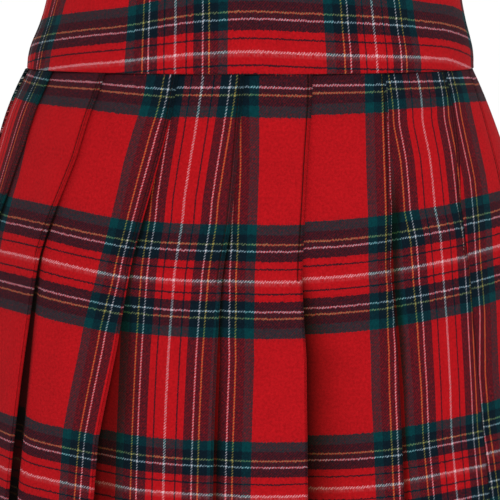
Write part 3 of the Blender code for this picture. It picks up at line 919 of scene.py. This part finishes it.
def tubes(name, lines, radius, sides, material):
    """Round threads along lines of points, as one piece."""
    points, faces = [], []
    turn = 2 * math.pi * np.arange(sides) / sides
    for line in lines:
        line = np.asarray(line)
        along = line[-1] - line[0]
        along /= np.linalg.norm(along)
        side = np.cross(along, (0.3, 0.2, 0.93))
        side /= np.linalg.norm(side)
        other = np.cross(along, side)
        ring = (np.cos(turn)[:, None] * side + np.sin(turn)[:, None] * other) * radius
        first = len(points)
        for point in line:
            points.extend((point + ring).tolist())
        for row in range(len(line) - 1):
            for i in range(sides):
                a, b = first + row * sides + i, first + row * sides + (i + 1) % sides
                faces.append((a, b, b + sides, a + sides))
        faces.append([first + i for i in range(sides)][::-1])
        faces.append([first + (len(line) - 1) * sides + i for i in range(sides)])
    mesh = bpy.data.meshes.new(name)
    mesh.from_pydata(points, [], faces)
    link(name, mesh, material)


stitches = [[Ring(start + STITCH_LONG * part) for part, _ in STITCH_SHAPE]
            for start in stitch_starts(0.0016, STITCH_END)]
stitch_thread = thread_material("stitch_thread", (0.016, 0.0045, 0.006))
for name, first, last in SKIRT_PIECES:
    lines = []
    for number in range(first + 1, last + 1):
        for rings in stitches:
            line = []
            for ring, (_, sunk) in zip(rings, STITCH_SHAPE):
                place = np.array([ring.fold(number) - STITCH_IN / ring.pleat])
                depth = face_depth(ring, number, place) - CLOTH / 2 - THREAD_R * 0.3 + sunk
                line.append(ring.points(place, depth)[0])
            lines.append(line)
    tubes(name + "_edge_stitches", lines, THREAD_R, STITCH_SIDES, stitch_thread)

# Yoke

yoke_cloth = check_cloth("yoke_check_twill")


def yoke_ring(depth):
    """Half widths on the wearer's right and left, and half depth."""
    return [float(smooth(YOKE_RINGS, depth, column)) for column in (1, 2, 3)]


def yoke_points(depth, angles, inward):
    """Points of the yoke at angles, each a distance in from its outside."""
    right, left, half_depth = yoke_ring(min(depth, YOKE_END))
    across, along = np.sin(angles), np.cos(angles)
    half_width = np.where(across < 0, right, left)
    x, y = half_depth * across, -half_width * along
    size = np.hypot(x, y)
    return np.stack([half_width * across - x / size * inward,
                     -half_depth * along - y / size * inward,
                     np.full(len(angles), -depth)], axis=-1)


def arc_at(depth, angles):
    """Signed arc from the nearest of centre front and centre back."""
    right, left, half_depth = yoke_ring(depth)
    turn = (angles + math.pi / 2) % math.pi - math.pi / 2
    arc = []
    for half_width in (right, left):
        lengths = arcs(half_width, half_depth)
        arc.append(np.sign(turn) * np.interp(np.abs(turn), EVEN_TURNS, lengths))
    return np.where(np.sin(angles) < 0, *arc)


def yoke_check(depth, angles, back):
    """Check coordinates, in repeats, across and down the yoke."""
    arc = arc_at(depth, angles)
    middle = arc_at(YOKE_LINES_AT, angles)
    sag, unit, spread, shift = [smooth(YOKE_LINES, middle, column) for column in (1, 2, 3, 4)]
    if back:
        spread, shift = 1.0, -WARP_REPEAT / 2
    across = (arc * (1 - spread) + middle * spread - shift - YOKE_WHITE_ARC) / WARP_REPEAT
    up = (YOKE_SEAM - depth) + sag
    down = -(up - YOKE_WHITE_UP) / unit / (2 * HALF_REPEAT)
    return np.stack([across, down], axis=-1)


YOKE_DEPTHS = np.concatenate([[0.0, 0.0003, 0.0009], np.linspace(0.0022, 0.0575, 26),
                              [0.0588, 0.0594, YOKE_END]])
for name, start, end in YOKE_PIECES:
    rows, checks, shades = [], [], []
    gap, seam = SLIT / 2 / BACK_RADIUS, SEAM_GAP / 2 / SIDE_RADIUS
    low = math.radians(start) + (gap if start == 180.0 else seam)
    high = math.radians(end) - (gap if end == 180.0 else seam)
    span = high - low
    turned = np.concatenate([[0, 0.0006, 0.0016],
                             np.linspace(0.0032, span - 0.0032, int((end - start) * 1.2)),
                             [span - 0.0016, span - 0.0006, span]]) + low
    for depth in YOKE_DEPTHS:
        # The cloth is turned over at its edges: rounded top, bottom and ends
        near = min(depth, YOKE_END - depth)
        edge_top = max(0.0, 1 - near / YOKE_ROUND)
        ends = np.minimum(turned - low, high - turned) * END_RADIUS
        edge_side = np.clip(1 - ends / YOKE_ROUND, 0, 1)
        curl = 1 - np.sqrt(np.clip(1 - np.maximum(edge_top, edge_side) ** 2, 0, 1))
        arc = arc_at(depth, turned)
        # Slight wave of the worn yoke
        wave = (0.0004 * np.sin(arc * 37 + depth * 60) * np.sin(depth * 55 + 1.0)
                + 0.00025 * np.sin(arc * 83 - depth * 90))
        inward = YOKE_IN + wave * min(1.0, near / 0.006)
        curl = curl * YOKE_WALL * YOKE_CURL
        outer = yoke_points(depth, turned, inward + curl)
        inner = yoke_points(depth, turned, inward + YOKE_WALL - curl)
        rows.append((outer, inner))
        checks.append(yoke_check(depth, turned, start != -90.0))
        shades.append(np.ones(len(turned)))
    piece = shell(name + "_cloth", rows, checks, shades, yoke_cloth)
    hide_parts(name)
    right, left, half_depth = yoke_ring(YOKE_SEAM / 2)
    half_width = {-90.0: (right + left) / 2, 90.0: left, 180.0: right}[start]
    arc_length = float(arcs(half_width, half_depth)[-1]) * (end - start) / 90

# Topstitching either side of the zip's slit, on the yoke

lines = []
for side in (-1, 1):
    for start in stitch_starts(0.0018, YOKE_SEAM - 0.0010):
        line = []
        for part, sunk in STITCH_SHAPE:
            at = start + STITCH_LONG * part
            half_width = yoke_ring(at)[1 if side < 0 else 0]
            angle = np.array([math.pi + side * TOPSTITCH_IN / half_width])
            line.append(yoke_points(at, angle, YOKE_IN + sunk - THREAD_R * 0.5)[0])
        lines.append(line)
tubes("zip_topstitches", lines, THREAD_R, STITCH_SIDES, stitch_thread)

# Zip teeth, left and right in turn, on the inside of the tapes from the slider down

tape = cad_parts["zip_tape_left"]
inside = {}
for vertex in tape.data.vertices:
    point = tape.matrix_world @ vertex.co
    if abs(point.x) < SLIT:
        at = round(-point.z, 4)
        inside[at] = min(inside.get(at, point.y), point.y)
tape_depths, tape_inner = zip(*sorted(inside.items()))
lines = []
for i, at in enumerate(np.arange(TEETH_TOP, TEETH_END, TOOTH_STEP / 2)):
    side = 1 if i % 2 else -1
    y = float(np.interp(at, tape_depths, tape_inner)) - TOOTH_R * 0.8
    lines.append([(side * reach, y, -at) for reach in (TOOTH_LONG, 0.0004, -TOOTH_LAP)])
zip_metal = metal_material()
tubes("zip_teeth", lines, TOOTH_R, STITCH_SIDES, zip_metal)
y = float(np.interp(TEETH_END, tape_depths, tape_inner)) - 0.0006
tubes("zip_bottom_stop", [[(x, y, -TEETH_END - 0.0012) for x in (-0.0024, 0.0, 0.0024)]], 0.0010,
      10, zip_metal)

# Zip: the frame's tapes, slider and tab, with their own finishes

for node, material in (("zip_tape_left", tape_material()), ("zip_tape_right", tape_material()),
                       ("zip_slider", zip_metal), ("zip_pull", zip_metal)):
    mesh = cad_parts[node].data
    mesh.materials.clear()
    mesh.materials.append(material)

# Floor, light and camera

turns = [2 * math.pi * i / FLOOR_CORNERS for i in range(FLOOR_CORNERS)]
rim = [(FLOOR_R * math.cos(turn), FLOOR_R * math.sin(turn), FLOOR_Z) for turn in turns]
floor_mesh = bpy.data.meshes.new("floor")
floor_mesh.from_pydata(rim, [], [list(range(FLOOR_CORNERS))])
floor = in_scene("floor", floor_mesh)
floor_nodes = Nodes("floor_white")
white = floor_nodes.mix(floor_nodes.noise(floor_nodes.place(), 3, 2),
                        (0.80, 0.80, 0.80, 1), (0.84, 0.84, 0.84, 1))
floor_nodes.finish({"Base Color": white, "Roughness": 0.9})
floor_mesh.materials.append(floor_nodes.material)

world = bpy.data.worlds.new("studio")
bpy.context.scene.world = world
world.use_nodes = True
background = world.node_tree.nodes["Background"]
background.inputs["Color"].default_value = (1, 1, 1, 1)
background.inputs["Strength"].default_value = WORLD_LIGHT

key_data = bpy.data.lights.new("key", "AREA")
key_data.shape, key_data.size, key_data.energy = "DISK", KEY_SIZE, KEY_POWER
key = in_scene("key", key_data)
key.location = KEY_PLACE
key.rotation_euler = (Vector(KEY_AIM) - Vector(KEY_PLACE)).to_track_quat("-Z", "Y").to_euler()

camera_data = bpy.data.cameras.new("camera")
camera = in_scene("camera", camera_data)
bpy.context.scene.camera = camera
camera_data.sensor_width = SENSOR * 1000
camera_data.lens = SENSOR * 1000 * (CAMERA_AWAY / PIXEL_M) / PHOTO_SIDE
camera_data.clip_start, camera_data.clip_end = 0.1, 50
camera.location = ((PHOTO_SIDE / 2 - PHOTO_SKIRT_X) * PIXEL_M, -CAMERA_AWAY, CAMERA_HEIGHT)
tilt = math.atan2(CAMERA_HEIGHT + AIM_DEPTH, CAMERA_AWAY - AIM_NEAR)
camera.rotation_euler = (math.pi / 2 - tilt, 0, 0)
